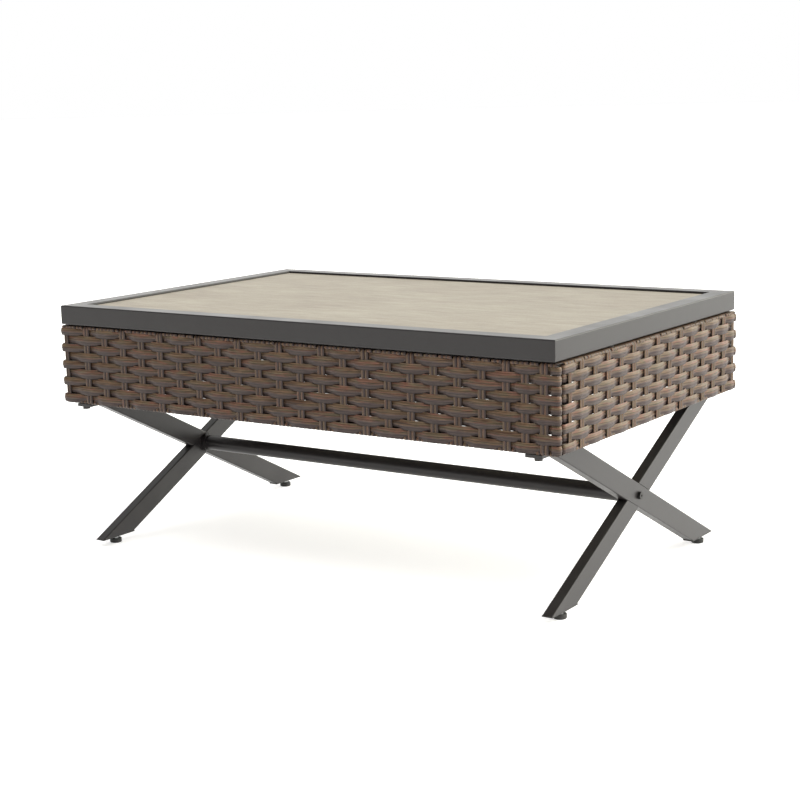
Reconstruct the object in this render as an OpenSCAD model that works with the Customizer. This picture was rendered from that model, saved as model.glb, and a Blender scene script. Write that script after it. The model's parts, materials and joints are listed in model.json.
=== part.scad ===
// Wicker coffee table: a framed stone-look top on a woven skirt, carried by two
// crossed leg frames that a round stretcher joins. All sizes are in millimetres.
// +X is the long side, -Y is the front, and the floor under the feet is z = 0.

/* [Tabletop] */
// Length of the tabletop frame
top_length = 1006; // [900:1:1100]
// Width of the tabletop frame
top_width = 664; // [600:1:720]
// Height of the tabletop above the floor
table_height = 450; // [430:1:480]
// Width of the flat rim round the tile
rim_width = 34; // [30:1:45]
// Height of the rim's edge
rim_height = 34; // [30:1:40]
// Wall of the rim's hollow section
rim_wall = 1.6; // [1.2:0.1:3]
// Radius of the rim's long edges
rim_radius = 2; // [1:0.5:4]
// Thickness of the tile
tile_thickness = 8; // [6:1:12]
// Depth of the tile's face under the rim
tile_recess = 4; // [2:0.5:6]

/* [Skirt] */
// Height of the woven skirt
skirt_height = 141; // [130:1:150]
// How far the skirt stands out past each end of the tabletop
skirt_proud = 6; // [2:1:10]
// Rows of weave in the height of the skirt
row_count = 9; // [7:1:9]
// Height of one woven strip
strip_height = 13.4; // [10:0.1:13.6]
// Thickness of one woven strip
strip_thickness = 1.6; // [1:0.1:1.8]
// Width of an upright stake of the weave
stake_width = 13; // [8:1:13]
// Thickness of an upright stake
stake_thickness = 2.4; // [1.2:0.1:2.6]
// Spacing of the stakes along the front and back
long_pitch = 43.2; // [43:0.1:43.4]
// Distance of a long side's first stake from its post
long_first = 49.5; // [48:0.5:50]
// Spacing of the last two stakes, where the weave is crowded
crowded_pitch = 32.5; // [32:0.5:33]
// Spacing of the stakes along the ends
short_pitch = 44.4; // [44:0.1:44.8]
// How far the stakes of an end stand to the right of its middle
short_shift = 13; // [12:0.5:13.5]
// Size of the square rail tube inside the skirt
rail_size = 12; // [10:0.5:12]
// Wall of the skirt's tubes
rail_wall = 1.2; // [1:0.1:1.5]

/* [Leg frames] */
// Broad face of the leg tube
leg_width = 37; // [34:1:40]
// Narrow face of the leg tube
leg_depth = 19; // [16:1:22]
// Wall of the leg tube
leg_wall = 1.6; // [1.2:0.1:2]
// Slope of each leg from the floor, in degrees
leg_slope = 26.5; // [25:0.5:28]
// Height of the middle of each cross
cross_height = 143; // [140:1:146]
// Outer face of a leg frame in from the skirt's outer face
leg_inset = 31; // [28:1:40]
// Width of the flat bar that carries the skirt
bar_width = 30; // [24:1:30]
// Thickness of that bar
bar_thickness = 5; // [4:0.5:6]

/* [Stretcher] */
// Diameter of the stretcher tube
stretcher_diameter = 28; // [24:1:30]
// Wall of the stretcher tube
stretcher_wall = 1.5; // [1.2:0.1:2]
// Diameter of the collar at each end of the stretcher
collar_diameter = 36; // [32:1:38]
// Length of a collar
collar_length = 8; // [5:1:12]

/* [Levelling feet] */
// Diameter of a glide pad
pad_diameter = 22; // [18:1:26]
// Height of a glide pad
pad_height = 8; // [6:1:9]
// Height of the leg's underside above the floor
foot_gap = 12; // [11.5:0.5:13]
// How far a foot screws out
foot_travel = 8; // [4:1:8]

/* [Hidden] */
// Colours of the materials
COAT = "#423d3b";
WICKER = "#6e5a4e";
WICKER_DARK = "#4a3b33";
STONE = "#c8bda6";
STEEL = "#b4b6b8";
BRASS = "#b08d4a";
BLACK = "#1c1b1b";
// Segments of a full circle
$fn = 48;

// Small clearances
layer_gap = 0.2;
mitre_gap = 0.1;
press_gap = 0.05;
overshoot = 1;

// Levels, from the top down
rim_bottom = table_height - rim_height;
tile_top = table_height - tile_recess;
tile_bottom = tile_top - tile_thickness;
tile_pad_height = 1.5;
ledge_top = tile_bottom - tile_pad_height;
ledge_thickness = 2;
ledge_width = 12;
skirt_top = rim_bottom - 2;
skirt_bottom = skirt_top - skirt_height;
wrap_thickness = 1.2;
rail_cover = stake_thickness + 1.5 * layer_gap + wrap_thickness;
top_rail_high = skirt_top - rail_cover;
top_rail_low = top_rail_high - rail_size;
bottom_rail_low = skirt_bottom + rail_cover;
bottom_rail_high = bottom_rail_low + rail_size;
bar_top = skirt_bottom - layer_gap;
bar_bottom = bar_top - bar_thickness;

// Depths of the skirt's layers, in from its outer face
over_depth = 0;
stake_depth = strip_thickness + layer_gap;
under_depth = stake_depth + stake_thickness + layer_gap;
wrap_depth = under_depth + strip_thickness + 2 * layer_gap;
rail_depth = wrap_depth + wrap_thickness + layer_gap / 2;
rail_back = rail_depth + rail_size;
wrap_back = rail_back + layer_gap / 2 + wrap_thickness;
stake_back = wrap_back + layer_gap + stake_thickness;
stake_tail = 14;
rail_middle = rail_depth + rail_size / 2;

// Plan of the skirt
skirt_length = top_length + 2 * skirt_proud;
post_width = 10;
long_post = skirt_length / 2 - 12.5;
short_post = top_width / 2 - 40;
corner_post = top_width / 2 - rail_middle;
long_end = skirt_length / 2 - 3;
short_end = top_width / 2 - 16;
corner_end = top_width / 2 - 8;
post_side = post_width / 2 + 1.5 * layer_gap;

// Stakes: the long sides end in two crowded stakes, the short sides are even but off centre
long_regular = floor((2 * long_post - long_first) / long_pitch);
long_stake_1 = long_first - long_post;
long_last = long_stake_1 + (long_regular - 1) * long_pitch;
long_stakes = concat(
    [for (i = [0:long_regular - 1]) long_stake_1 + i * long_pitch],
    [long_last + crowded_pitch, long_last + 2 * crowded_pitch]);
short_half = floor(short_post / short_pitch);
short_stakes = [for (i = [-short_half:short_half]) short_shift + i * short_pitch];

// Rows of weave
weave_low = skirt_bottom + stake_thickness + layer_gap;
weave_high = skirt_top - stake_thickness - layer_gap;
row_pitch = (weave_high - weave_low) / row_count;
flat_half = stake_width / 2 + 1.5;

// Bolts that hold the tabletop down, between two stakes each
long_top_bolts = [for (i = [2.5, 10.5, 18.5]) long_stake_1 + i * long_pitch];
short_top_bolts = [for (i = [-3.5, 3.5]) short_shift + i * short_pitch];
wrap_notch = 17;
spacer_diameter = 14;

// Screws: M6 for the skirt, M8 for the stretcher and the feet
m6 = 6;
m8 = 8;
bolt_hole = 6.4;
stretcher_hole = 8.4;
nut_flats = 10;
nut_height = 5;
thread_gap = 0.1;
head_diameter = 13;
head_height = 5;
socket_flats = 4;
socket_depth = 2.5;

// Leg frames
leg_outer = skirt_length / 2 - leg_inset;
leg_middle = leg_outer - leg_depth / 2;
leg_inner = leg_outer - leg_depth;
leg_radius = 2;
leg_reach = 700;
plug_flange = 2;
leg_foot = foot_gap + plug_flange;
foot_y = (cross_height - leg_foot) / tan(leg_slope);
foot_cut = leg_width / sin(leg_slope);
bar_x = leg_outer - bar_width / 2;
bar_length = top_width - 8;
mount_bolt_y = top_width / 2 - rail_middle;
mount_bolt_shift = 3;
mount_bolt_x = bar_x + mount_bolt_shift;
mount_spacer_diameter = 9.2;

// Feet
plug_rise = 20;
insert_diameter = 12;
thread_kept = 8;
stem_top = foot_gap + foot_travel + thread_kept;
insert_top = stem_top + 1;
stem_seat = 3;
stem_hex_flats = 10;
stem_hex_height = foot_gap - pad_height - 0.8;
pad_edge = 1.5;

// ---- Placing: each side is drawn as the front, its outer face on y = 0 ----

module at_front() { translate([0, -top_width / 2, 0]) children(); }
module at_back() { rotate([0, 0, 180]) at_front() children(); }
module at_right(half_length) { rotate([0, 0, 90]) translate([0, -half_length, 0]) children(); }
module at_left(half_length) { rotate([0, 0, 180]) at_right(half_length) children(); }
// The left leg frame is the right one turned half way round
module to_left() { rotate([0, 0, 180]) children(); }

// ---- Shared shapes ----

// A rectangle about the origin with round corners
module round_rectangle(x, y, r) {
    square([x - 2 * r, y], center = true);
    square([x, y - 2 * r], center = true);
    for (sx = [-1, 1], sy = [-1, 1]) {
        translate([sx * (x / 2 - r), sy * (y / 2 - r)]) circle(r);
    }
}

// A square tube along X, its near lower edge at y and z
module rail_tube(half_length, y, z, holes) {
    difference() {
        translate([-half_length, y, z]) cube([2 * half_length, rail_size, rail_size]);
        translate([-half_length - overshoot, y + rail_wall, z + rail_wall])
            cube([2 * half_length + 2 * overshoot, rail_size - 2 * rail_wall, rail_size - 2 * rail_wall]);
        for (x = holes) {
            translate([x, y + rail_size / 2, z - overshoot])
                cylinder(d = bolt_hole, h = rail_size + 2 * overshoot);
        }
    }
}

// A button head on a shank that points up, the seat of the head on z = 0
module button_bolt(shank, length) {
    difference() {
        union() {
            cylinder(d = shank, h = length);
            intersection() {
                translate([0, 0, -head_height]) cylinder(d = head_diameter, h = head_height);
                translate([0, 0, 0.35 * head_diameter - head_height]) sphere(d = 1.3 * head_diameter);
            }
        }
        translate([0, 0, -head_height - overshoot])
            cylinder(d = socket_flats / cos(30), h = socket_depth + overshoot, $fn = 6);
    }
}

// A plain round ring standing on z = 0
module ring(outside, inside, height) {
    difference() {
        cylinder(d = outside, h = height);
        translate([0, 0, -overshoot]) cylinder(d = inside, h = height + 2 * overshoot);
    }
}

// ---- Tabletop ----

// One side of the rim: a hollow section with a ledge inside, cut at 45 degrees
module rim_side(length, bolts) {
    reach = rim_width + ledge_width;
    half = length / 2 - mitre_gap;
    difference() {
        intersection() {
            rotate([90, 0, 90]) linear_extrude(height = length, center = true) {
                translate([rim_width / 2, rim_bottom + rim_height / 2]) difference() {
                    round_rectangle(rim_width, rim_height, rim_radius);
                    square([rim_width - 2 * rim_wall, rim_height - 2 * rim_wall], center = true);
                }
                translate([rim_width - rim_wall, ledge_top - ledge_thickness])
                    square([ledge_width + rim_wall, ledge_thickness]);
            }
            linear_extrude(height = 2 * table_height)
                polygon([[-half, 0], [half, 0], [half - reach, reach], [reach - half, reach]]);
        }
        for (x = bolts) {
            translate([x, rail_middle, rim_bottom - overshoot])
                cylinder(d = bolt_hole, h = rim_wall + 2 * overshoot);
        }
    }
}

// The stone-look tile that lies inside the rim
module tile() {
    gap = 1;
    length = top_length - 2 * rim_width - 2 * gap;
    width = top_width - 2 * rim_width - 2 * gap;
    translate([-length / 2, -width / 2, tile_bottom]) cube([length, width, tile_thickness]);
}

// A tube across the frame under the tile, between the long sides of the rim
module tile_support(x) {
    support_width = 30;
    support_height = 15;
    span = top_width - 2 * rim_width;
    low = ledge_top - ledge_thickness - support_height;
    translate([x - support_width / 2, -span / 2, low]) difference() {
        cube([support_width, span, support_height]);
        translate([rim_wall, -overshoot, rim_wall])
            cube([support_width - 2 * rim_wall, span + 2 * overshoot, support_height - 2 * rim_wall]);
    }
}
support_x = 160;

// Soft pads that the tile is bedded on, along the ledge and on the cross tubes
module tile_bedding() {
    pad = [40, 8, tile_pad_height];
    long_y = top_width / 2 - rim_width - ledge_width / 2;
    short_x = top_length / 2 - rim_width - ledge_width / 2;
    for (x = [-400, -240, -80, 80, 240, 400], s = [-1, 1]) {
        translate([x - pad.x / 2, s * long_y - pad.y / 2, ledge_top]) cube(pad);
    }
    for (y = [-200, 0, 200], s = [-1, 1]) {
        translate([s * short_x - pad.y / 2, y - pad.x / 2, ledge_top]) cube([pad.y, pad.x, pad.z]);
    }
    for (y = [-150, 0, 150], s = [-1, 1]) {
        translate([s * support_x - pad.y, y - pad.x / 2, ledge_top - ledge_thickness])
            cube([2 * pad.y, pad.x, pad.z + ledge_thickness]);
    }
}

// Rubber rings between the skirt's top rail and the rim
module spacer_row(bolts) {
    for (x = bolts) {
        translate([x, rail_middle, top_rail_high])
            ring(spacer_diameter, bolt_hole, rim_bottom - top_rail_high);
    }
}

// Bolts up through the skirt's top rail into the rim
module top_bolt_row(bolts) {
    length = rim_bottom + rim_wall + nut_height - top_rail_low + 1;
    for (x = bolts) {
        translate([x, rail_middle, top_rail_low]) button_bolt(m6, length);
    }
}

// ---- Skirt ----

// Upright posts at a corner: the one in the corner ends both sides' weave where the short side's
// right end meets the long side's left end, and elsewhere the short side has a post of its own
module corner_posts(sx, sy) {
    height = top_rail_low - bottom_rail_high;
    corner = [sx * long_post, sy * corner_post, 0];
    own = [sx * (skirt_length / 2 - rail_middle), sy * short_post, 90];
    for (post = sx * sy > 0 ? [corner] : [corner, own]) {
        translate([post.x, post.y, bottom_rail_high + height / 2]) rotate([0, 0, post.z])
            difference() {
                cube([post_width, rail_size, height], center = true);
                cube([post_width - 2 * rail_wall, rail_size - 2 * rail_wall, height + overshoot],
                     center = true);
            }
    }
}

// Stakes: flat strips that stand in the weave and fold back over both rails
module stake_row(places) {
    a = stake_depth;
    b = stake_back;
    t = stake_thickness;
    low = skirt_bottom;
    high = skirt_top;
    for (x = places) {
        translate([x - stake_width / 2, 0, 0]) rotate([90, 0, 90]) linear_extrude(height = stake_width)
            polygon([
                [a, low], [b, low], [b, low + stake_tail], [b - t, low + stake_tail],
                [b - t, low + t], [a + t, low + t], [a + t, high - t], [b - t, high - t],
                [b - t, high - stake_tail], [b, high - stake_tail], [b, high], [a, high]]);
    }
}

// Depth of a row's outer face at column i: rows and columns alternate
function strip_depth(row, i) = (row + i) % 2 == 0 ? over_depth : under_depth;

// Outer outline of one woven strip, flat at each stake and sloping between them
function strip_outline(row, columns, ends) = concat(
    [[ends[0], strip_depth(row, 0)]],
    [for (i = [0:len(columns) - 1], s = [-1, 1])
        [columns[i] + s * flat_half, strip_depth(row, i)]],
    [[ends[1], strip_depth(row, len(columns) - 1)]]);

// The outline without its first and last bends, which lie past the strip's ends
function inner_points(points, ends) = [for (p = points) if (p.x >= ends[0] && p.x <= ends[1]) p];

// Rows of strips that pass in front of one stake and behind the next
module weave_rows(columns, ends) {
    for (row = [0:row_count - 1]) {
        front = inner_points(strip_outline(row, columns, ends), ends);
        back = [for (i = [len(front) - 1:-1:0]) front[i] + [0, strip_thickness]];
        z = weave_high - (row + 0.5) * row_pitch - strip_height / 2;
        translate([0, 0, z]) linear_extrude(height = strip_height) polygon(concat(front, back));
    }
}

// Strip wound tightly round both rails from one end to the other, open where a bolt passes
module rail_wraps(ends, top_bolts, bottom_bolts) {
    length = ends[1] - ends[0];
    for (rail = [[top_rail_low, top_bolts], [bottom_rail_low, bottom_bolts]]) {
        inside = layer_gap / 2;
        outside = inside + wrap_thickness;
        z = rail[0];
        difference() {
            translate([ends[0], rail_depth - outside, z - outside])
                cube([length, rail_size + 2 * outside, rail_size + 2 * outside]);
            translate([ends[0] - overshoot, rail_depth - inside, z - inside])
                cube([length + 2 * overshoot, rail_size + 2 * inside, rail_size + 2 * inside]);
            for (x = rail[1]) {
                translate([x - wrap_notch / 2, 0, z - 2 * outside])
                    cube([wrap_notch, 2 * rail_back, rail_size + 4 * outside]);
            }
        }
    }
}

// ---- Leg frames, drawn at the right end ----

// The outer form of a leg tube that leans by lean degrees from upright
module leg_form(lean, width, depth, radius) {
    translate([leg_middle, 0, cross_height]) rotate([lean, 0, 0])
        linear_extrude(height = leg_reach, center = true) round_rectangle(depth, width, radius);
}

// A leg tube between the bar and the foot plug
module leg_tube(lean) {
    intersection() {
        difference() {
            leg_form(lean, leg_width, leg_depth, leg_radius);
            leg_form(lean, leg_width - 2 * leg_wall, leg_depth - 2 * leg_wall, leg_radius / 2);
        }
        translate([leg_inner - overshoot, -leg_reach, leg_foot])
            cube([leg_depth + 2 * overshoot, 2 * leg_reach, bar_bottom - leg_foot]);
    }
}
lean = 90 - leg_slope;

// The leg in one length, drilled for the stretcher's bolt
module through_leg() {
    difference() {
        leg_tube(lean);
        translate([leg_inner - overshoot, 0, cross_height]) rotate([0, 90, 0])
            cylinder(d = stretcher_hole, h = leg_depth + 2 * overshoot);
    }
}

// Half of the leg in two lengths, coped to the leg it meets: side 1 is the upper half
module half_leg(side) {
    difference() {
        intersection() {
            leg_tube(-lean);
            translate([leg_inner - overshoot, side > 0 ? 0 : -leg_reach, 0])
                cube([leg_depth + 2 * overshoot, leg_reach, 2 * cross_height]);
        }
        leg_form(lean, leg_width, 2 * leg_depth, leg_radius / 2);
    }
}

// The flat bar on top of a cross, drilled for the bolts that hold the skirt
module mounting_bar() {
    difference() {
        translate([bar_x - bar_width / 2, -bar_length / 2, bar_bottom])
            cube([bar_width, bar_length, bar_thickness]);
        for (s = [-1, 1]) {
            translate([mount_bolt_x, s * mount_bolt_y, bar_bottom - overshoot])
                cylinder(d = bolt_hole, h = bar_thickness + 2 * overshoot);
        }
    }
}

// The four places where a bar is bolted to the skirt
module at_mounts(z) {
    for (sx = [-1, 1], sy = [-1, 1]) {
        translate([sx * mount_bolt_x, sy * mount_bolt_y, z]) children();
    }
}

// A hex nut standing on z = 0
module hex_nut() {
    difference() {
        cylinder(d = nut_flats / cos(30), h = nut_height, $fn = 6);
        translate([0, 0, -overshoot]) cylinder(d = m6 + 2 * thread_gap, h = nut_height + 2 * overshoot);
    }
}

module nut_row(bolts) {
    for (x = bolts) {
        translate([x, rail_middle, rim_bottom + rim_wall]) hex_nut();
    }
}

// ---- Stretcher ----

insert_length = 25;

// Both ends of the stretcher, drawn along +Z from the inner face of a leg inwards
module at_stretcher_ends() {
    for (s = [-1, 1]) {
        translate([s * leg_inner, 0, cross_height]) rotate([0, -s * 90, 0]) children();
    }
}

// ---- Feet ----

// The four feet, at floor level
module at_foot(sx, sy) { translate([sx * leg_middle, sy * foot_y, 0]) children(); }

// A leg's end plug: a flange over the sloping cut and a block inside the tube
module foot_plug(side) {
    fit = 2 * leg_wall + 2 * press_gap;
    difference() {
        union() {
            translate([leg_inner, side * foot_y - foot_cut / 2, foot_gap])
                cube([leg_depth, foot_cut, plug_flange]);
            intersection() {
                leg_form(side > 0 ? lean : -lean, leg_width - fit, leg_depth - fit, leg_radius / 2);
                translate([leg_inner, -leg_reach, leg_foot])
                    cube([leg_depth, 2 * leg_reach, plug_rise]);
            }
        }
        at_foot(1, side) translate([0, 0, foot_gap - overshoot])
            cylinder(d = insert_diameter + 2 * press_gap, h = insert_top - foot_gap + overshoot);
        at_foot(1, side) cylinder(d = m8 + 1, h = leg_foot + 2 * plug_rise);
    }
}

// A levelling screw with a hexagon for the spanner
module levelling_stem() {
    cylinder_bottom = stem_seat + layer_gap;
    translate([0, 0, cylinder_bottom]) cylinder(d = m8, h = stem_top - cylinder_bottom);
    translate([0, 0, pad_height + 0.2])
        cylinder(d = stem_hex_flats / cos(30), h = stem_hex_height, $fn = 6);
}

// A round glide pad with a soft lower edge and a seat for the screw's end
module glide_pad() {
    r = pad_diameter / 2;
    difference() {
        rotate_extrude() polygon(concat(
            [[0, 0]],
            [for (a = [-90:15:0]) [r - pad_edge + pad_edge * cos(a), pad_edge + pad_edge * sin(a)]],
            [[r, pad_height - pad_edge / 2], [r - pad_edge / 2, pad_height], [0, pad_height]]));
        translate([0, 0, stem_seat]) cylinder(d = m8 + 2 * thread_gap, h = pad_height);
    }
}

// ---- Nodes ----

module top_rail_front() { color(COAT) at_front() rim_side(top_length, long_top_bolts); }
module top_rail_back() { color(COAT) at_back() rim_side(top_length, long_top_bolts); }
module top_rail_left() {
    color(COAT) at_left(top_length / 2) short_rim_side();
}
module top_rail_right() {
    color(COAT) at_right(top_length / 2) short_rim_side();
}
// The skirt's end rail lies further out than on the long sides
module short_rim_side() {
    difference() {
        rim_side(top_width, []);
        for (x = short_top_bolts) {
            translate([x, rail_middle - skirt_proud, rim_bottom - overshoot])
                cylinder(d = bolt_hole, h = rim_wall + 2 * overshoot);
        }
    }
}
module tile_panel() { color(STONE) tile(); }
module tile_support_left() { color(COAT) tile_support(-support_x); }
module tile_support_right() { color(COAT) tile_support(support_x); }
module tile_pads() { color(BLACK) tile_bedding(); }
module on_all_sides() {
    at_front() children(0);
    at_back() children(0);
    at_right(skirt_length / 2) children(1);
    at_left(skirt_length / 2) children(1);
}
module top_spacers() {
    color(BLACK) on_all_sides() {
        spacer_row(long_top_bolts);
        spacer_row(short_top_bolts);
    }
}
module top_bolts() {
    color(STEEL) on_all_sides() {
        top_bolt_row(long_top_bolts);
        top_bolt_row(short_top_bolts);
    }
}

long_rail_half = skirt_length / 2 - 7;
short_rail_half = top_width / 2 - rail_back;
mount_holes = [-mount_bolt_x, mount_bolt_x];
module long_top_rail() { rail_tube(long_rail_half, rail_depth, top_rail_low, long_top_bolts); }
module short_top_rail() { rail_tube(short_rail_half, rail_depth, top_rail_low, short_top_bolts); }
module long_bottom_rail() { rail_tube(long_rail_half, rail_depth, bottom_rail_low, mount_holes); }
module short_bottom_rail() { rail_tube(short_rail_half, rail_depth, bottom_rail_low, []); }
module skirt_top_rail_front() { color(COAT) at_front() long_top_rail(); }
module skirt_top_rail_back() { color(COAT) at_back() long_top_rail(); }
module skirt_top_rail_left() { color(COAT) at_left(skirt_length / 2) short_top_rail(); }
module skirt_top_rail_right() { color(COAT) at_right(skirt_length / 2) short_top_rail(); }
module skirt_bottom_rail_front() { color(COAT) at_front() long_bottom_rail(); }
module skirt_bottom_rail_back() { color(COAT) at_back() long_bottom_rail(); }
module skirt_bottom_rail_left() { color(COAT) at_left(skirt_length / 2) short_bottom_rail(); }
module skirt_bottom_rail_right() { color(COAT) at_right(skirt_length / 2) short_bottom_rail(); }
module corner_posts_front_left() { color(COAT) corner_posts(-1, -1); }
module corner_posts_front_right() { color(COAT) corner_posts(1, -1); }
module corner_posts_back_left() { color(COAT) corner_posts(-1, 1); }
module corner_posts_back_right() { color(COAT) corner_posts(1, 1); }

module stakes_front() { color(WICKER_DARK) at_front() stake_row(long_stakes); }
module stakes_back() { color(WICKER_DARK) at_back() stake_row(long_stakes); }
module stakes_left() { color(WICKER_DARK) at_left(skirt_length / 2) stake_row(short_stakes); }
module stakes_right() { color(WICKER_DARK) at_right(skirt_length / 2) stake_row(short_stakes); }
// A long side's last stake stands against its post, so the strips run on flat past both
module long_weave() { weave_rows(concat([-long_post], long_stakes), [-long_end, long_end]); }
module short_weave() {
    weave_rows(concat([-short_post], short_stakes, [corner_post]), [-short_end, corner_end]);
}
module weave_front() { color(WICKER) at_front() long_weave(); }
module weave_back() { color(WICKER) at_back() long_weave(); }
module weave_left() { color(WICKER) at_left(skirt_length / 2) short_weave(); }
module weave_right() { color(WICKER) at_right(skirt_length / 2) short_weave(); }
// On the long sides the winding stops short of the winding round the end rails
module long_wraps() {
    half_length = skirt_length / 2 - wrap_back - layer_gap;
    rail_wraps([-half_length, half_length], long_top_bolts, mount_holes);
}
module short_wraps() {
    rail_wraps([post_side - short_post, short_rail_half - layer_gap], short_top_bolts, []);
}
module rail_wraps_front() { color(WICKER) at_front() long_wraps(); }
module rail_wraps_back() { color(WICKER) at_back() long_wraps(); }
module rail_wraps_left() { color(WICKER) at_left(skirt_length / 2) short_wraps(); }
module rail_wraps_right() { color(WICKER) at_right(skirt_length / 2) short_wraps(); }

module through_leg_left() { color(COAT) to_left() through_leg(); }
module through_leg_right() { color(COAT) through_leg(); }
module upper_half_leg_left() { color(COAT) to_left() half_leg(1); }
module upper_half_leg_right() { color(COAT) half_leg(1); }
module lower_half_leg_left() { color(COAT) to_left() half_leg(-1); }
module lower_half_leg_right() { color(COAT) half_leg(-1); }
module mounting_bar_left() { color(COAT) to_left() mounting_bar(); }
module mounting_bar_right() { color(COAT) mounting_bar(); }
module mounting_bolts() {
    length = bottom_rail_high + nut_height + 1 - bar_bottom;
    color(BLACK) at_mounts(bar_bottom) button_bolt(m6, length);
}
module mounting_spacers() {
    color(BLACK) at_mounts(bar_top)
        ring(mount_spacer_diameter, bolt_hole, bottom_rail_low - bar_top);
}
module hex_nuts() {
    color(STEEL) {
        at_mounts(bottom_rail_high) hex_nut();
        on_all_sides() {
            nut_row(long_top_bolts);
            nut_row(short_top_bolts);
        }
    }
}

module stretcher_tube() {
    length = 2 * leg_inner;
    inside = stretcher_diameter - 2 * stretcher_wall;
    color(COAT) translate([-leg_inner, 0, cross_height]) rotate([0, 90, 0])
        ring(stretcher_diameter, inside, length);
}
module stretcher_collars() {
    color(COAT) at_stretcher_ends()
        ring(collar_diameter, stretcher_diameter + 2 * press_gap, collar_length);
}
module stretcher_inserts() {
    outside = stretcher_diameter - 2 * stretcher_wall - 2 * press_gap;
    color(STEEL) at_stretcher_ends() ring(outside, m8 + 2 * thread_gap, insert_length);
}
module stretcher_bolts() {
    color(BLACK) for (s = [-1, 1]) {
        translate([s * leg_outer, 0, cross_height]) rotate([0, -s * 90, 0])
            button_bolt(m8, leg_depth + insert_length - 4);
    }
}

module foot_plugs() {
    color(BLACK) for (side = [-1, 1]) {
        foot_plug(side);
        to_left() foot_plug(side);
    }
}
module foot_inserts() {
    color(BRASS) for (sx = [-1, 1], sy = [-1, 1]) {
        at_foot(sx, sy) translate([0, 0, foot_gap + layer_gap])
            ring(insert_diameter, m8 + 2 * thread_gap, insert_top - foot_gap - 2 * layer_gap);
    }
}
module levelling_stem_front_left() { color(STEEL) at_foot(-1, -1) levelling_stem(); }
module levelling_stem_front_right() { color(STEEL) at_foot(1, -1) levelling_stem(); }
module levelling_stem_back_left() { color(STEEL) at_foot(-1, 1) levelling_stem(); }
module levelling_stem_back_right() { color(STEEL) at_foot(1, 1) levelling_stem(); }
module glide_pad_front_left() { color(BLACK) at_foot(-1, -1) glide_pad(); }
module glide_pad_front_right() { color(BLACK) at_foot(1, -1) glide_pad(); }
module glide_pad_back_left() { color(BLACK) at_foot(-1, 1) glide_pad(); }
module glide_pad_back_right() { color(BLACK) at_foot(1, 1) glide_pad(); }

top_rail_front();
top_rail_back();
top_rail_left();
top_rail_right();
tile_panel();
tile_support_left();
tile_support_right();
tile_pads();
top_spacers();
top_bolts();
skirt_top_rail_front();
skirt_top_rail_back();
skirt_top_rail_left();
skirt_top_rail_right();
skirt_bottom_rail_front();
skirt_bottom_rail_back();
skirt_bottom_rail_left();
skirt_bottom_rail_right();
corner_posts_front_left();
corner_posts_front_right();
corner_posts_back_left();
corner_posts_back_right();
stakes_front();
stakes_back();
stakes_left();
stakes_right();
weave_front();
weave_back();
weave_left();
weave_right();
rail_wraps_front();
rail_wraps_back();
rail_wraps_left();
rail_wraps_right();
through_leg_left();
through_leg_right();
upper_half_leg_left();
upper_half_leg_right();
lower_half_leg_left();
lower_half_leg_right();
mounting_bar_left();
mounting_bar_right();
mounting_bolts();
mounting_spacers();
hex_nuts();
stretcher_tube();
stretcher_collars();
stretcher_inserts();
stretcher_bolts();
foot_plugs();
foot_inserts();
levelling_stem_front_left();
levelling_stem_front_right();
levelling_stem_back_left();
levelling_stem_back_right();
glide_pad_front_left();
glide_pad_front_right();
glide_pad_back_left();
glide_pad_back_right();
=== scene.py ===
"""Looks of a wicker coffee table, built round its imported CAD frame.

Each side of the woven skirt is drawn as the front is: s runs along the side, d is the depth in from
the skirt's outer face and z is the height. Every length is in metres.
"""

import json
import math
import random

import bmesh
import bpy
import numpy as np
from mathutils import Matrix, Vector


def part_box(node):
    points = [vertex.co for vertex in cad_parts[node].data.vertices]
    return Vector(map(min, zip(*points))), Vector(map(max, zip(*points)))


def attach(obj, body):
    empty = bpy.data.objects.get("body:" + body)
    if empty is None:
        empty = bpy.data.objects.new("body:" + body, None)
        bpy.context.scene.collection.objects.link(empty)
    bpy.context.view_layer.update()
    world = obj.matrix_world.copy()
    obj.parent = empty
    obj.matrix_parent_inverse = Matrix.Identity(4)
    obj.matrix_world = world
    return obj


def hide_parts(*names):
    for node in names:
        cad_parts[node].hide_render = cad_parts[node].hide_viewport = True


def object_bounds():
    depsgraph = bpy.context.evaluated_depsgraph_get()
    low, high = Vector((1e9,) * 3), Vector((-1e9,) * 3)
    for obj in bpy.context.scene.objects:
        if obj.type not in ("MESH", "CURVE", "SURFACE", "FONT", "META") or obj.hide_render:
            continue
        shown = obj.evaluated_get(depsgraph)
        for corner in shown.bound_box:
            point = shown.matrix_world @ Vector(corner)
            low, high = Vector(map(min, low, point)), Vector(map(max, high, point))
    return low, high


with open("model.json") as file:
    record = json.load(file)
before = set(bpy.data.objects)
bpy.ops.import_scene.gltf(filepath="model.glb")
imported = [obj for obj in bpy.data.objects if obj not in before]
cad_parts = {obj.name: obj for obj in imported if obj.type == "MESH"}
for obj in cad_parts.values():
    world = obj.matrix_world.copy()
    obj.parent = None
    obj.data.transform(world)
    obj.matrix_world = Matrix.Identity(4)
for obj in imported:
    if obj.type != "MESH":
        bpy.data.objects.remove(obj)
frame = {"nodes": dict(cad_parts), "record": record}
cad_low, cad_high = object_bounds()

MM = 0.001

# ---- What the frame says about the skirt ----


def levels(node, axis):
    """The separate coordinates of a CAD node's corners along one axis, in order."""
    found = []
    for value in sorted(v.co[axis] for v in frame["nodes"][node].data.vertices):
        if not found or value - found[-1] > 0.3 * MM:
            found.append(value)
    return found


def middles(values):
    """The middle of each solid, from its two faces' coordinates."""
    return [(a + b) / 2 for a, b in zip(values[::2], values[1::2])]


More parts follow.
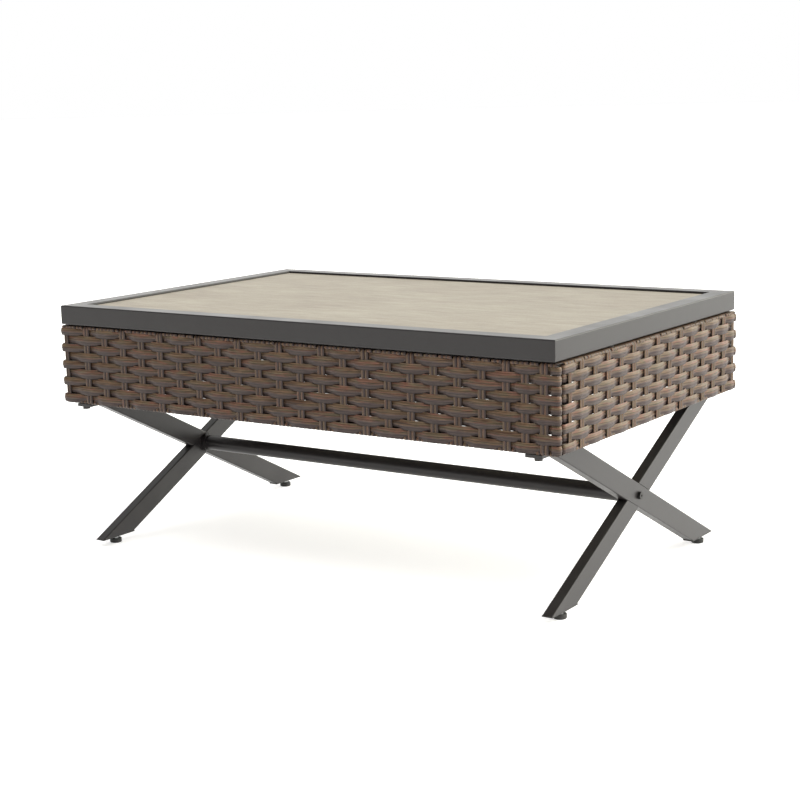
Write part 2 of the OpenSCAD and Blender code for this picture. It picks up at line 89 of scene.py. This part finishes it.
X, Y, Z = 0, 1, 2
skirt_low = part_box("stakes_front")[0].z
skirt_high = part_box("stakes_front")[1].z
rows = sorted(middles(levels("weave_front", Z)), reverse=True)
last_row = len(rows) - 1
rail_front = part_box("skirt_top_rail_front")[0].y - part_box("weave_front")[0].y
rail_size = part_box("skirt_top_rail_front")[1].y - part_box("skirt_top_rail_front")[0].y
top_rail_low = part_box("skirt_top_rail_front")[0].z
bottom_rail_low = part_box("skirt_bottom_rail_front")[0].z
post_half = 5 * MM
corner_low, corner_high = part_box("corner_posts_front_left")
corner_post = -(corner_low + corner_high) / 2
own_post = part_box("corner_posts_front_right")[1].y - post_half

# Depths of the skirt's layers: the crown line of each strip, and the middle of the stakes
OVER = 0.6 * MM
UNDER = 6.0 * MM
RECESSED = 2.4 * MM
STAKE = 3.4 * MM
STAKE_THICK = 2.0 * MM
STAKE_BACK = rail_front + rail_size + 2.6 * MM
STRAND_WIDTH = 7.2 * MM

# A strip lies wide over a stake, and cups and narrows as it dives behind the next one
HIGH = 8.0 * MM
LOW = 9.0 * MM
TOP_ROW_HIGH = 6.2 * MM
STRIP_THICK = 1.2 * MM
FULL, END_FULL = 1.0, 0.86
# How far its face bulges over a stake, and at most between stakes in the outermost rows
FLAT, BACKED = 1.3 * MM, 1.5 * MM
LEVEL_UNDER = 9.0 * MM
# The powers by which its upper and lower edge draw in, and how far it wavers up and down
DRAW_HIGH, DRAW_LOW = 2.4, 2.0
WAVER = 0.35 * MM
# Its share of full width behind a stake, its cup between two, and its level reach over one
LONG_FORM = 0.88, 2.8 * MM, 8.0 * MM
SHORT_FORM = 0.98, 1.5 * MM, 6.0 * MM
# Its end round a post: the bend's radius, the depth it runs straight in to, and its tuck behind.
# A spill is how far the left and the right end reach past the CAD strip, or short of it below 0.
CROWDED_TURN = 4.0 * MM, 7.0 * MM, 2.2 * MM
OPEN_TURN = 3.6 * MM, 0.0, 3.0 * MM
CROWDED_SPILL = 1.6 * MM, 1.0 * MM
OPEN_SPILL = -3.0 * MM, -0.8 * MM
# An end behind a post starts this far short of its reach, but always past the post
HIDDEN_END = 10 * MM
# Points along a strip from one stake to the next
STEPS = 14


class Side:
    """One side of the skirt, with its turn about +Z from the front."""

    def __init__(self, name, turn, like, axis, posts):
        low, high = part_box("weave_" + like)
        self.name = name
        self.turn = math.radians(turn)
        self.half = -low.y if axis == X else high.x
        self.ends = low[axis], high[axis]
        self.posts = posts
        self.stakes = middles(levels("stakes_" + like, axis))
        self.crowded = posts[1] - self.stakes[-1] < 0.5 * (self.stakes[1] - self.stakes[0])
        self.spill = CROWDED_SPILL if self.crowded else OPEN_SPILL
        self.end_form = CROWDED_TURN if self.crowded else OPEN_TURN
        self.pinched, self.cupped, self.level_over = SHORT_FORM if axis == Y else LONG_FORM
        rail_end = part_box("skirt_top_rail_" + like)[1][axis]
        self.wound = self.ends[1] - 1 * MM if self.crowded else rail_end - 3 * MM

    def place(self, points):
        """Local (s, d, z) points in the table's own frame."""
        x = points[..., 0]
        y = points[..., 1] - self.half
        cos, sin = math.cos(self.turn), math.sin(self.turn)
        return np.stack([cos * x - sin * y, sin * x + cos * y, points[..., 2]], axis=-1)


long_posts = -corner_post.x, corner_post.x
short_posts = own_post, corner_post.y
SIDES = [
    Side("front", 0, "front", X, long_posts),
    Side("right", 90, "right", Y, short_posts),
    Side("back", 180, "front", X, long_posts),
    Side("left", 270, "right", Y, short_posts)]

# ---- Sweeping ribbons into meshes ----


def unit(vectors):
    return vectors / np.linalg.norm(vectors, axis=-1, keepdims=True)


def section(ribs, outer_count=17, inner_count=7):
    """Points round a ribbon's section: across from -1 to 1, edge rounding, rib depth, and which face."""
    v = np.sin(np.linspace(-math.pi / 2, math.pi / 2, outer_count))
    w = np.sin(np.linspace(math.pi / 2, -math.pi / 2, inner_count + 2))[1:-1]
    rib = sum(depth * np.exp(-(((v - at) / width) ** 2)) for at, width, depth in ribs)
    across = np.concatenate([v, w])
    edge = np.sqrt(np.clip(1 - across ** 4, 0, 1))
    face = np.concatenate([np.ones(outer_count), -np.ones(inner_count)])
    return across, edge, np.concatenate([rib, np.zeros(inner_count)]), face


class Ribbons:
    """A mesh of many ribbons. Its strand attribute holds (run along, place across, which strand)."""

    def __init__(self):
        self.points = []
        self.strand = []
        self.faces = []
        self.count = 0

    def add(self, path, across, high, low, bulge, thick, shape, strand, start=0.0):
        """Sweeps shape along path. high and low are the reach each way across, bulge the crown."""
        v, edge, rib, face = shape
        rings, around = len(path), len(v)
        tangent = unit(np.gradient(path, axis=0))
        across = unit(across - (across * tangent).sum(-1, keepdims=True) * tangent)
        outward = np.cross(tangent, across)
        reach = np.where(v > 0, v * np.reshape(high, (-1, 1)), v * np.reshape(low, (-1, 1)))
        lift = np.reshape(bulge, (-1, 1)) * (1 - v ** 2) + face * thick / 2 * edge - rib
        points = path[:, None] + across[:, None] * reach[..., None] + outward[:, None] * lift[..., None]
        run = start + np.concatenate([[0], np.cumsum(np.linalg.norm(np.diff(path, axis=0), axis=1))])
        self.points.append(points.reshape(-1, 3))
        labels = np.broadcast_arrays(run[:, None], v[None, :], strand)
        self.strand.append(np.stack(labels, -1).reshape(-1, 3))
        ring, place = np.meshgrid(np.arange(rings - 1), np.arange(around), indexing="ij")
        beside = (place + 1) % around
        quads = np.stack([ring * around + place, (ring + 1) * around + place,
                          (ring + 1) * around + beside, ring * around + beside], -1)
        self.faces += (quads.reshape(-1, 4) + self.count).tolist()
        last = self.count + (rings - 1) * around
        self.faces.append([self.count + k for k in range(around)])
        self.faces.append([last + k for k in range(around - 1, -1, -1)])
        self.count += rings * around

    def piece(self, name, side, material, *nodes):
        """Builds the finished piece, which stands for the given CAD nodes."""
        mesh = bpy.data.meshes.new(name)
        mesh.from_pydata(side.place(np.concatenate(self.points)).tolist(), [], self.faces)
        mesh.attributes.new("strand", "FLOAT_VECTOR", "POINT")
        labels = np.concatenate(self.strand).astype(np.float32)
        mesh.attributes["strand"].data.foreach_set("vector", labels.ravel())
        mesh.polygons.foreach_set("use_smooth", np.ones(len(mesh.polygons), bool))
        work = bmesh.new()
        work.from_mesh(mesh)
        bmesh.ops.recalc_face_normals(work, faces=work.faces)
        work.to_mesh(mesh)
        work.free()
        mesh.materials.append(material)
        obj = bpy.data.objects.new(name, mesh)
        bpy.context.scene.collection.objects.link(obj)
        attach(obj, "table")
        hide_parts(*nodes)


# ---- Woven strips ----


def ease(t):
    """0 to 1 with level ends."""
    return 0.5 - 0.5 * np.cos(math.pi * np.clip(t, 0, 1))


def end_turn(s, d, radius, straight, tuck):
    """(s, d) points of a strip that turns in round a post at its right end."""
    a = np.linspace(0, math.pi / 2, 7)[1:]
    out = [(s + radius * math.sin(t), d + radius * (1 - math.cos(t))) for t in a]
    edge, deep = out[-1]
    if straight > deep:
        out += [(edge, deep + (straight - deep) * t) for t in (0.5, 1)]
        deep = straight
    return out + [(edge - tuck * (1 - math.cos(t)), deep + tuck * math.sin(t)) for t in a]


def strip_line(side, row, rng):
    """A strip's edge line, its reach up and down, and its crown, at each point of it."""
    cupped = min(BACKED, side.cupped) if row in (0, last_row) else side.cupped
    over = [(row + i) % 2 == 0 for i in range(len(side.stakes) + 2)]
    places = [side.posts[0]] + side.stakes + [side.posts[1]]
    depths = [OVER if up else UNDER for up in over]
    fulls = [FULL if up else side.pinched for up in over]
    if over[0]:
        fulls[0] = END_FULL
    if side.crowded:
        depths[-1] = OVER if over[-2] else RECESSED
        fulls[-1] = END_FULL
    line, high, low, crown = [], [], [], []
    for i in range(len(places) - 1):
        gap = places[i + 1] - places[i]
        before, after = (side.level_over if d < UNDER else LEVEL_UNDER for d in depths[i:i + 2])
        u = np.linspace(0, 1, STEPS, endpoint=False)
        rise = ease((u * gap - before) / max(gap - before - after, 0.4 * gap))
        big, small = max(fulls[i:i + 2]), min(fulls[i:i + 2])
        away = ease(1.25 * (u if fulls[i] == big else 1 - u) - 0.25)
        level = np.full(STEPS, FULL)
        depth = depths[i] + (depths[i + 1] - depths[i]) * rise
        line.append(np.stack([places[i] + gap * u, depth], -1))
        high.append(level if row == 0 else small + (big - small) * (1 - away ** DRAW_HIGH))
        low.append(level if row == last_row else small + (big - small) * (1 - away ** DRAW_LOW))
        crown.append(FLAT + (cupped - FLAT) * np.sin(math.pi * u))
    line.append(np.array([[places[-1], depths[-1]]]))
    high.append(np.array([fulls[-1]]))
    low.append(np.array([fulls[-1]]))
    crown.append(np.array([FLAT]))
    line, high, low, crown = (np.concatenate(a) for a in (line, high, low, crown))
    for sign, at in ((-1, 0), (1, -1)):
        reach = sign * side.ends[at] + side.spill[at]
        if depths[at] == UNDER:
            start = max(reach - HIDDEN_END, sign * places[at] + 1 * MM)
            tail = [(start, UNDER + 0.5 * MM), (start + 3 * MM, UNDER + 3 * MM)]
        else:
            tail = end_turn(reach - side.end_form[0], depths[at], *side.end_form)
        tail = np.array(tail) * (sign, 1)
        full = np.full(len(tail), min(high[at], END_FULL))
        flat = np.full(len(tail), crown[at])
        pairs = ((tail, line), (full, high), (full, low), (flat, crown))
        joined = [[a[::-1], b] if sign < 0 else [b, a] for a, b in pairs]
        line, high, low, crown = (np.concatenate(parts) for parts in joined)
    waver = [rng.uniform(-WAVER, WAVER) for _ in range(len(places) + 2)]
    bend = np.interp(line[:, 0], np.linspace(*side.ends, len(waver)), waver)
    line[:, 1] += crown
    path = np.column_stack([line, rows[row] + bend])
    return path, high * (TOP_ROW_HIGH if row == 0 else HIGH), low * LOW, crown


STRIP_RIBS = ((0.22, 0.085, 0.55 * MM), (-0.38, 0.085, 0.50 * MM), (0.70, 0.07, 0.25 * MM))


def weave(side, material):
    """The rows of strips that pass over one stake and under the next."""
    rng = random.Random(side.name + " weave")
    ribbons = Ribbons()
    for row in range(len(rows)):
        path, high, low, crown = strip_line(side, row, rng)
        up = np.tile((0.0, 0.0, 1.0), (len(path), 1))
        ribbons.add(path, up, high, low, crown, STRIP_THICK, section(STRIP_RIBS),
                    rng.uniform(0, 40), rng.uniform(0, 20))
    ribbons.piece("woven_strips_" + side.name, side, material, "weave_" + side.name)


# ---- Stakes and the strips wound round the rails ----


def rounded(corners, radius, steps=5):
    """A line through (d, z) corners, with each inner corner rounded off."""
    corners = [np.array(c) for c in corners]
    line = [corners[0]]
    for before, here, after in zip(corners, corners[1:], corners[2:]):
        a, b = unit(before - here) * radius, unit(after - here) * radius
        for t in np.linspace(0, 1, steps):
            line.append(here + a * (1 - t) ** 2 + b * t ** 2)
    line.append(corners[-1])
    return line


def refined(line, step):
    """The same line with points no further apart than step."""
    out = [line[0]]
    for a, b in zip(line, line[1:]):
        n = max(1, math.ceil(np.linalg.norm(b - a) / step))
        out += [a + (b - a) * k / n for k in range(1, n + 1)]
    return np.array(out)


STAKE_RIBS = ((-0.26, 0.13, 0.40 * MM), (0.38, 0.13, 0.40 * MM))


def standing(ribbons, s, width, line, thick, bulge, shape, strand, lean=0.0):
    """A ribbon that runs up the skirt at s along a (d, z) line, its face outwards."""
    line = refined(line, 6 * MM)
    path = np.column_stack([np.full(len(line), s) + lean * (line[:, 1] - skirt_low), line])
    across = np.tile((-1.0, 0.0, 0.0), (len(path), 1))
    half = np.full(len(path), width / 2)
    ribbons.add(path, across, half, half, bulge, thick, shape, strand, strand)


def stakes(side, material):
    """Each stake is two ribbed strands side by side, folded back over both rails."""
    rng = random.Random(side.name + " stakes")
    ribbons = Ribbons()
    shape = section(STAKE_RIBS, 13, 5)
    thick = STAKE_THICK * 0.7
    top, bottom = skirt_high - STAKE_THICK / 2, skirt_low + STAKE_THICK / 2
    tail = 13 * MM
    line = rounded([(STAKE_BACK, bottom + tail), (STAKE_BACK, bottom), (STAKE, bottom),
                    (STAKE, top), (STAKE_BACK, top), (STAKE_BACK, top - tail)], 4.5 * MM)
    for s in side.stakes:
        for half in (-1, 1):
            standing(ribbons, s + half * STRAND_WIDTH / 2, STRAND_WIDTH, line, thick, 0.8 * MM,
                     shape, rng.uniform(0, 40), rng.uniform(-0.002, 0.002))
    # Two narrow strands stand in front of each post but the one at a crowded end
    hold = rail_front - 1 * MM
    line = rounded([(hold, bottom), (STAKE, bottom), (STAKE, top), (hold, top)], 3 * MM)
    for post in side.posts[:1] if side.crowded else side.posts:
        for half in (-1, 1):
            standing(ribbons, post + half * post_half / 2, post_half - 0.2 * MM, line,
                     thick, 0.6 * MM, shape, rng.uniform(0, 40))
    ribbons.piece("stakes_" + side.name + "_strands", side, material, "stakes_" + side.name)


WRAP_RIBS = ((-0.36, 0.08, 0.25 * MM), (0.30, 0.08, 0.25 * MM))
WRAP_PITCH = 8.9 * MM
WRAP_THICK = 1.2 * MM
# The winding's middle lies this far off the rail, and this far within the skirt's top and bottom
WRAP_OUT = 0.9 * MM
# The lip's depth in from the skirt's face, along the top edge and along the bottom edge
TOP_LIP, BOTTOM_LIP = 1.6 * MM, 4.5 * MM
# How far from the edge the lip starts, and the winding leaves the rail's front
LIP_HIGH, WAIST_HIGH = 2.8 * MM, 4.6 * MM


def rail_winding(side, material):
    """Strands wound round the top and bottom rails, between the stakes that show over the top row."""
    rng = random.Random(side.name + " winding")
    ribbons = Ribbons()
    shape = section(WRAP_RIBS, 11, 5)
    back = rail_front + rail_size + WRAP_OUT
    waist = rail_front - 1.0 * MM
    stake_half = STRAND_WIDTH + 0.3 * MM
    shown = [s for i, s in enumerate(side.stakes) if i % 2 == 0]
    spans = [(a + stake_half, b - stake_half) for a, b in zip(shown, shown[1:])]
    spans = [(-side.wound, shown[0] - stake_half)] + spans + [(shown[-1] + stake_half, side.wound)]
    places = []
    for a, b in spans:
        n = max(0, round((b - a) / WRAP_PITCH))
        places += [(a + (b - a) * (k + 0.5) / n, (b - a) / n) for k in range(n)]
    for low, lip in ((top_rail_low, 1), (bottom_rail_low, -1)):
        inner = low + (0 if lip > 0 else rail_size)
        cap = (skirt_high if lip > 0 else skirt_low) - lip * WRAP_OUT
        hem = inner - lip * WRAP_OUT
        front = TOP_LIP if lip > 0 else BOTTOM_LIP
        loop = [(waist, hem), (waist, cap - lip * WAIST_HIGH), (front, cap - lip * LIP_HIGH),
                (front + 0.6 * MM, cap), (back, cap), (back, hem), (waist + 3 * MM, hem)]
        line = rounded(loop, 1.4 * MM)
        if lip < 0:
            line = line[::-1]
        for s, width in places:
            standing(ribbons, s, width - 0.2 * MM, line, WRAP_THICK, 0.5 * MM, shape,
                     rng.uniform(0, 40), rng.uniform(-0.01, 0.01))
    ribbons.piece("rail_winding_" + side.name, side, material, "rail_wraps_" + side.name)


# ---- Materials ----


class Nodes:
    """Shorthand for a material's or a world's node tree."""

    def __init__(self, tree):
        self.tree = tree

    def make(self, kind, inputs=(), **settings):
        node = self.tree.nodes.new(kind)
        for name, value in settings.items():
            setattr(node, name, value)
        for socket, value in dict(inputs).items():
            if isinstance(value, bpy.types.NodeSocket):
                self.tree.links.new(value, node.inputs[socket])
            else:
                node.inputs[socket].default_value = value
        return node

    def scaled(self, vector, scale):
        return self.make("ShaderNodeMapping", {"Vector": vector, "Scale": scale}).outputs[0]

    def noise(self, vector, scale=1.0, detail=3.0, roughness=0.55):
        return self.make("ShaderNodeTexNoise", {"Vector": vector, "Scale": scale, "Detail": detail,
                         "Roughness": roughness}).outputs["Fac"]

    def ramp(self, value, stops):
        node = self.make("ShaderNodeValToRGB", {"Fac": value})
        ramp = node.color_ramp
        while len(ramp.elements) < len(stops):
            ramp.elements.new(0.5)
        for element, (at, colour) in zip(ramp.elements, stops):
            element.position = at
            element.color = (*colour, 1) if len(colour) == 3 else (colour[0],) * 3 + (1,)
        return node.outputs["Color"]

    def mix(self, factor, a, b, blend="MIX"):
        node = self.make("ShaderNodeMix", data_type="RGBA", blend_type=blend)
        for socket, value in (("Factor_Float", factor), ("A_Color", a), ("B_Color", b)):
            target = next(i for i in node.inputs if i.identifier == socket)
            if isinstance(value, bpy.types.NodeSocket):
                self.tree.links.new(value, target)
            else:
                target.default_value = value
        return next(o for o in node.outputs if o.identifier == "Result_Color")

    def math(self, operation, a, b=0.0):
        return self.make("ShaderNodeMath", {0: a, 1: b}, operation=operation).outputs[0]

    def bump(self, height, strength, distance):
        return self.make("ShaderNodeBump", {"Height": height, "Strength": strength,
                         "Distance": distance}).outputs["Normal"]


def new_material(name, sockets):
    """A material and its Nodes, with the Principled sockets that are the same all over."""
    material = bpy.data.materials.new(name)
    material.use_nodes = True
    shader = material.node_tree.nodes["Principled BSDF"]
    for socket, value in sockets.items():
        shader.inputs[socket].default_value = value
    return material, Nodes(material.node_tree), shader


def connect(nodes, shader, **sockets):
    for socket, output in sockets.items():
        nodes.tree.links.new(output, shader.inputs[socket.replace("_", " ")])


def wicker():
    """Brown and grey resin strands, streaked along their length, with painted shade in their grooves, at
    their lower edge and over their lower half, and a painted highlight along their upper band.
    """
    material, nodes, shader = new_material("resin_wicker", {"Specular IOR Level": 0.24})
    strand = nodes.make("ShaderNodeAttribute", attribute_name="strand").outputs["Vector"]
    across = nodes.make("ShaderNodeSeparateXYZ", {"Vector": strand}).outputs["Y"]
    patches = nodes.noise(nodes.scaled(strand, (14, 0.9, 6)), detail=2.0)
    # Upper half of each strand tan, lower half grey-purple: the hue differs in the strands, and the lower
    # half's extra darkness is painted shade for the side that faces down.
    upper_tan_tone = nodes.ramp(patches, [
        (0.30, (0.054, 0.029, 0.017)), (0.42, (0.094, 0.058, 0.034)), (0.50, (0.077, 0.058, 0.035)),
        (0.57, (0.108, 0.050, 0.034)), (0.66, (0.086, 0.061, 0.038)), (0.76, (0.065, 0.053, 0.033))])
    lower_shaded_grey = nodes.ramp(patches, [
        (0.30, (0.035, 0.022, 0.019)), (0.45, (0.064, 0.043, 0.038)), (0.55, (0.052, 0.034, 0.032)),
        (0.66, (0.068, 0.050, 0.043))])
    sway = nodes.noise(nodes.scaled(strand, (30, 1.5, 9)))
    side = nodes.math("ADD", nodes.math("MULTIPLY", across, 1.1), sway)
    body = nodes.mix(nodes.ramp(side, [(0.30, (0.0,)), (0.60, (1.0,))]), lower_shaded_grey, upper_tan_tone)
    streaks = nodes.noise(nodes.scaled(strand, (38, 11, 3)), detail=4.0, roughness=0.65)
    worn = nodes.ramp(streaks, [(0.30, (0.48,)), (0.5, (1.0,)), (0.72, (1.75,))])
    body = nodes.mix(1.0, body, worn, "MULTIPLY")
    # Across each strand, from its lower edge to its upper: painted shade at the lower edge and in the
    # grooves, and a painted highlight in the upper band; on the stakes and wraps the same bands run from
    # side to side.
    position = nodes.math("MULTIPLY_ADD", across, 0.5)
    position.node.inputs[2].default_value = 0.5
    painted_shade_and_highlight = nodes.ramp(position, [
        (0.0, (0.20,)), (0.10, (0.62,)), (0.25, (0.92,)), (0.31, (0.38,)), (0.37, (0.98,)),
        (0.54, (1.22,)), (0.61, (0.36,)), (0.67, (1.2,)), (0.80, (1.40,)), (0.85, (0.70,)),
        (0.90, (1.55,)), (1.0, (1.15,))])
    body = nodes.mix(1.0, body, painted_shade_and_highlight, "MULTIPLY")
    fine = nodes.noise(nodes.scaled(strand, (60, 26, 3)), detail=3.0)
    connect(nodes, shader, Base_Color=body, Normal=nodes.bump(fine, 0.5, 0.25 * MM),
            Roughness=nodes.ramp(streaks, [(0.3, (0.34,)), (0.7, (0.50,))]))
    return material


def coated(name, dark, light, rough, grain, depth):
    """Paint, plastic or rubber: a faint mottle in the colour and a fine grain in the surface."""
    material, nodes, shader = new_material(name, {"Specular IOR Level": 0.36})
    place = nodes.make("ShaderNodeTexCoord").outputs["Object"]
    mottle = nodes.noise(place, scale=14.0, detail=4.0)
    peel = nodes.noise(place, scale=grain, detail=2.0)
    connect(nodes, shader, Base_Color=nodes.ramp(mottle, [(0.35, dark), (0.65, light)]),
            Roughness=nodes.ramp(mottle, [(0.3, (rough - 0.04,)), (0.7, (rough + 0.05,))]),
            Normal=nodes.bump(peel, 0.35, depth))
    return material


def metal(name, dark, light, rough, stretch):
    """Bare metal with fine marks along one direction."""
    material, nodes, shader = new_material(name, {"Metallic": 1.0})
    place = nodes.make("ShaderNodeTexCoord").outputs["Object"]
    marks = nodes.noise(nodes.scaled(place, stretch), detail=4.0)
    connect(nodes, shader, Base_Color=nodes.ramp(marks, [(0.3, dark), (0.7, light)]),
            Roughness=nodes.ramp(marks, [(0.3, (rough - 0.06,)), (0.7, (rough + 0.08,))]),
            Normal=nodes.bump(marks, 0.2, 0.05 * MM))
    return material


def stone():
    """A satin ceramic tile with fine streaks along its length and faint clouds."""
    material, nodes, shader = new_material("stone_tile", {"Specular IOR Level": 0.3})
    place = nodes.make("ShaderNodeTexCoord").outputs["Object"]
    streaks = nodes.noise(nodes.scaled(place, (16, 110, 1)), detail=6.0, roughness=0.7)
    clouds = nodes.noise(nodes.scaled(place, (7, 17, 1)), detail=5.0, roughness=0.6)
    speck = nodes.noise(nodes.scaled(place, (500, 700, 1)), detail=2.0)
    body = nodes.ramp(streaks, [
        (0.30, (0.180, 0.153, 0.119)), (0.50, (0.282, 0.252, 0.203)), (0.70, (0.386, 0.354, 0.298))])
    haze = nodes.ramp(clouds, [(0.35, (0.240, 0.204, 0.165)), (0.65, (0.335, 0.307, 0.250))])
    body = nodes.mix(0.40, body, haze)
    grain = nodes.ramp(speck, [(0.30, (0.86,)), (0.5, (1.0,)), (0.72, (1.08,))])
    body = nodes.mix(1.0, body, grain, "MULTIPLY")
    connect(nodes, shader, Base_Color=body, Normal=nodes.bump(streaks, 0.15, 0.2 * MM),
            Roughness=nodes.ramp(streaks, [(0.3, (0.52,)), (0.7, (0.62,))]))
    return material


def floor_material():
    """A plain pale floor that glows a little, so that the table's shadow stays faint."""
    material, nodes, shader = new_material("studio_floor", {
        "Roughness": 0.9, "Specular IOR Level": 0.0,
        "Emission Color": (1, 1, 1, 1), "Emission Strength": 0.52})
    place = nodes.make("ShaderNodeTexCoord").outputs["Object"]
    tone = nodes.noise(place, scale=0.8)
    pale = nodes.ramp(tone, [(0.3, (0.92, 0.92, 0.92)), (0.7, (0.94, 0.94, 0.94))])
    connect(nodes, shader, Base_Color=pale)
    return material


MATERIALS = {
    "dark_powder_coat": coated("dark_powder_coat", (0.017, 0.015, 0.0155), (0.022, 0.020, 0.0205),
                               0.34, 1100, 0.03 * MM),
    "stone_tile": stone(),
    "resin_wicker": wicker(),
    "black_rubber": coated("black_rubber", (0.016, 0.016, 0.016), (0.024, 0.023, 0.023),
                           0.75, 2500, 0.05 * MM),
    "black_nylon": coated("black_nylon", (0.014, 0.014, 0.014), (0.022, 0.021, 0.021),
                          0.48, 2000, 0.04 * MM),
    "brass": metal("brass", (0.50, 0.35, 0.14), (0.66, 0.49, 0.22), 0.34, (60, 60, 900)),
    "black_steel": metal("black_steel", (0.035, 0.034, 0.034), (0.07, 0.068, 0.066),
                         0.42, (300, 300, 300)),
    "zinc_steel": metal("zinc_steel", (0.50, 0.52, 0.54), (0.68, 0.69, 0.70), 0.32, (80, 80, 700))}

# ---- The object ----

for part in frame["record"]["subparts"]:
    node = frame["nodes"][part["node"]]
    node.data.materials.clear()
    node.data.materials.append(MATERIALS[part["material_slot"]])

# Rounded edges on the bolts, the bars and the feet's plugs, and a fine round on the rim
for names, radius in ((("mounting_bolts", "top_bolts", "stretcher_bolts"), 2.0 * MM),
                      (("mounting_bar_left", "mounting_bar_right", "foot_plugs"), 0.7 * MM),
                      (("top_rail_front", "top_rail_back", "top_rail_left", "top_rail_right"), 0.4 * MM)):
    for name in names:
        soften = frame["nodes"][name].modifiers.new("rounded edges", "BEVEL")
        soften.width = radius
        soften.segments = 4
        soften.limit_method = "ANGLE"
        soften.angle_limit = math.radians(40)
        soften.harden_normals = True

for side in SIDES:
    weave(side, MATERIALS["resin_wicker"])
    stakes(side, MATERIALS["resin_wicker"])
    rail_winding(side, MATERIALS["resin_wicker"])

# ---- Floor, light and camera ----


def floor():
    mesh = bpy.data.meshes.new("studio_floor")
    work = bmesh.new()
    bmesh.ops.create_circle(work, cap_ends=True, radius=60.0, segments=96)
    work.to_mesh(mesh)
    work.free()
    mesh.materials.append(floor_material())
    obj = bpy.data.objects.new("studio_floor", mesh)
    obj.location.z = cad_low.z
    bpy.context.scene.collection.objects.link(obj)


def soft_light(name, place, aim, width, height, power):
    light = bpy.data.lights.new(name, "AREA")
    light.shape = "RECTANGLE"
    light.size, light.size_y = width, height
    light.energy = power
    obj = bpy.data.objects.new(name, light)
    obj.location = place
    obj.rotation_euler = (Vector(aim) - Vector(place)).to_track_quat("-Z", "Y").to_euler()
    bpy.context.scene.collection.objects.link(obj)


# Soft glows of the studio: towards where, the cosine at their edge, and their colour
GLOWS = (
    ((-0.62, 0.76, 0.16), 0.70, (1.55, 1.55, 1.50)),
    ((0.80, 0.55, 0.12), 0.35, (5.60, 5.56, 5.00)),
    ((-0.10, -0.10, 1.0), 0.45, (1.15, 1.14, 1.13)))
FILL = (0.066, 0.058, 0.062, 1.0)


def studio_world():
    """Even light all round, with soft glows behind the table's left, behind its right and overhead."""
    world = bpy.data.worlds.new("studio")
    world.use_nodes = True
    nodes = Nodes(world.node_tree)
    background = world.node_tree.nodes["Background"]
    way = nodes.make("ShaderNodeTexCoord").outputs["Generated"]
    light = FILL
    for direction, edge, colour in GLOWS:
        facing = nodes.make("ShaderNodeVectorMath", {0: way, 1: Vector(direction).normalized()},
                            operation="DOT_PRODUCT").outputs["Value"]
        glow = nodes.make("ShaderNodeMapRange", {"Value": facing, "From Min": edge},
                          interpolation_type="SMOOTHSTEP").outputs["Result"]
        light = nodes.mix(glow, light, (*colour, 1.0), "ADD")
    seen = nodes.make("ShaderNodeLightPath").outputs["Is Camera Ray"]
    nodes.tree.links.new(nodes.mix(seen, light, (1.0, 1.0, 1.0, 1.0)), background.inputs["Color"])
    bpy.context.scene.world = world


def camera():
    """Looks at the table's front from its right, a little above the top."""
    azimuth, elevation, roll = 34.25, 10.33, -1.335
    distance = 3.074
    aim = Vector((0, -0.021, 0.267))
    a, e = math.radians(azimuth), math.radians(elevation)
    back = Vector((math.sin(a) * math.cos(e), -math.cos(a) * math.cos(e), math.sin(e)))
    # A long lens whose small shift keeps the table where it stands in the frame
    data = bpy.data.cameras.new("camera")
    data.sensor_width = 36
    data.lens = 76.98
    data.shift_x = 0.00945
    data.shift_y = 0.0008
    obj = bpy.data.objects.new("camera", data)
    turn = (-back).to_track_quat("-Z", "Y").to_matrix() @ Matrix.Rotation(math.radians(roll), 3, "Z")
    obj.matrix_world = Matrix.LocRotScale(aim + back * distance, turn, None)
    bpy.context.scene.collection.objects.link(obj)
    bpy.context.scene.camera = obj


floor()
studio_world()
camera()
soft_light("key", place=(0.4, -1.5, 2.6), aim=(0, 0, 0.35), width=1.0, height=0.8, power=12)
bpy.context.scene.view_settings.view_transform = "Standard"
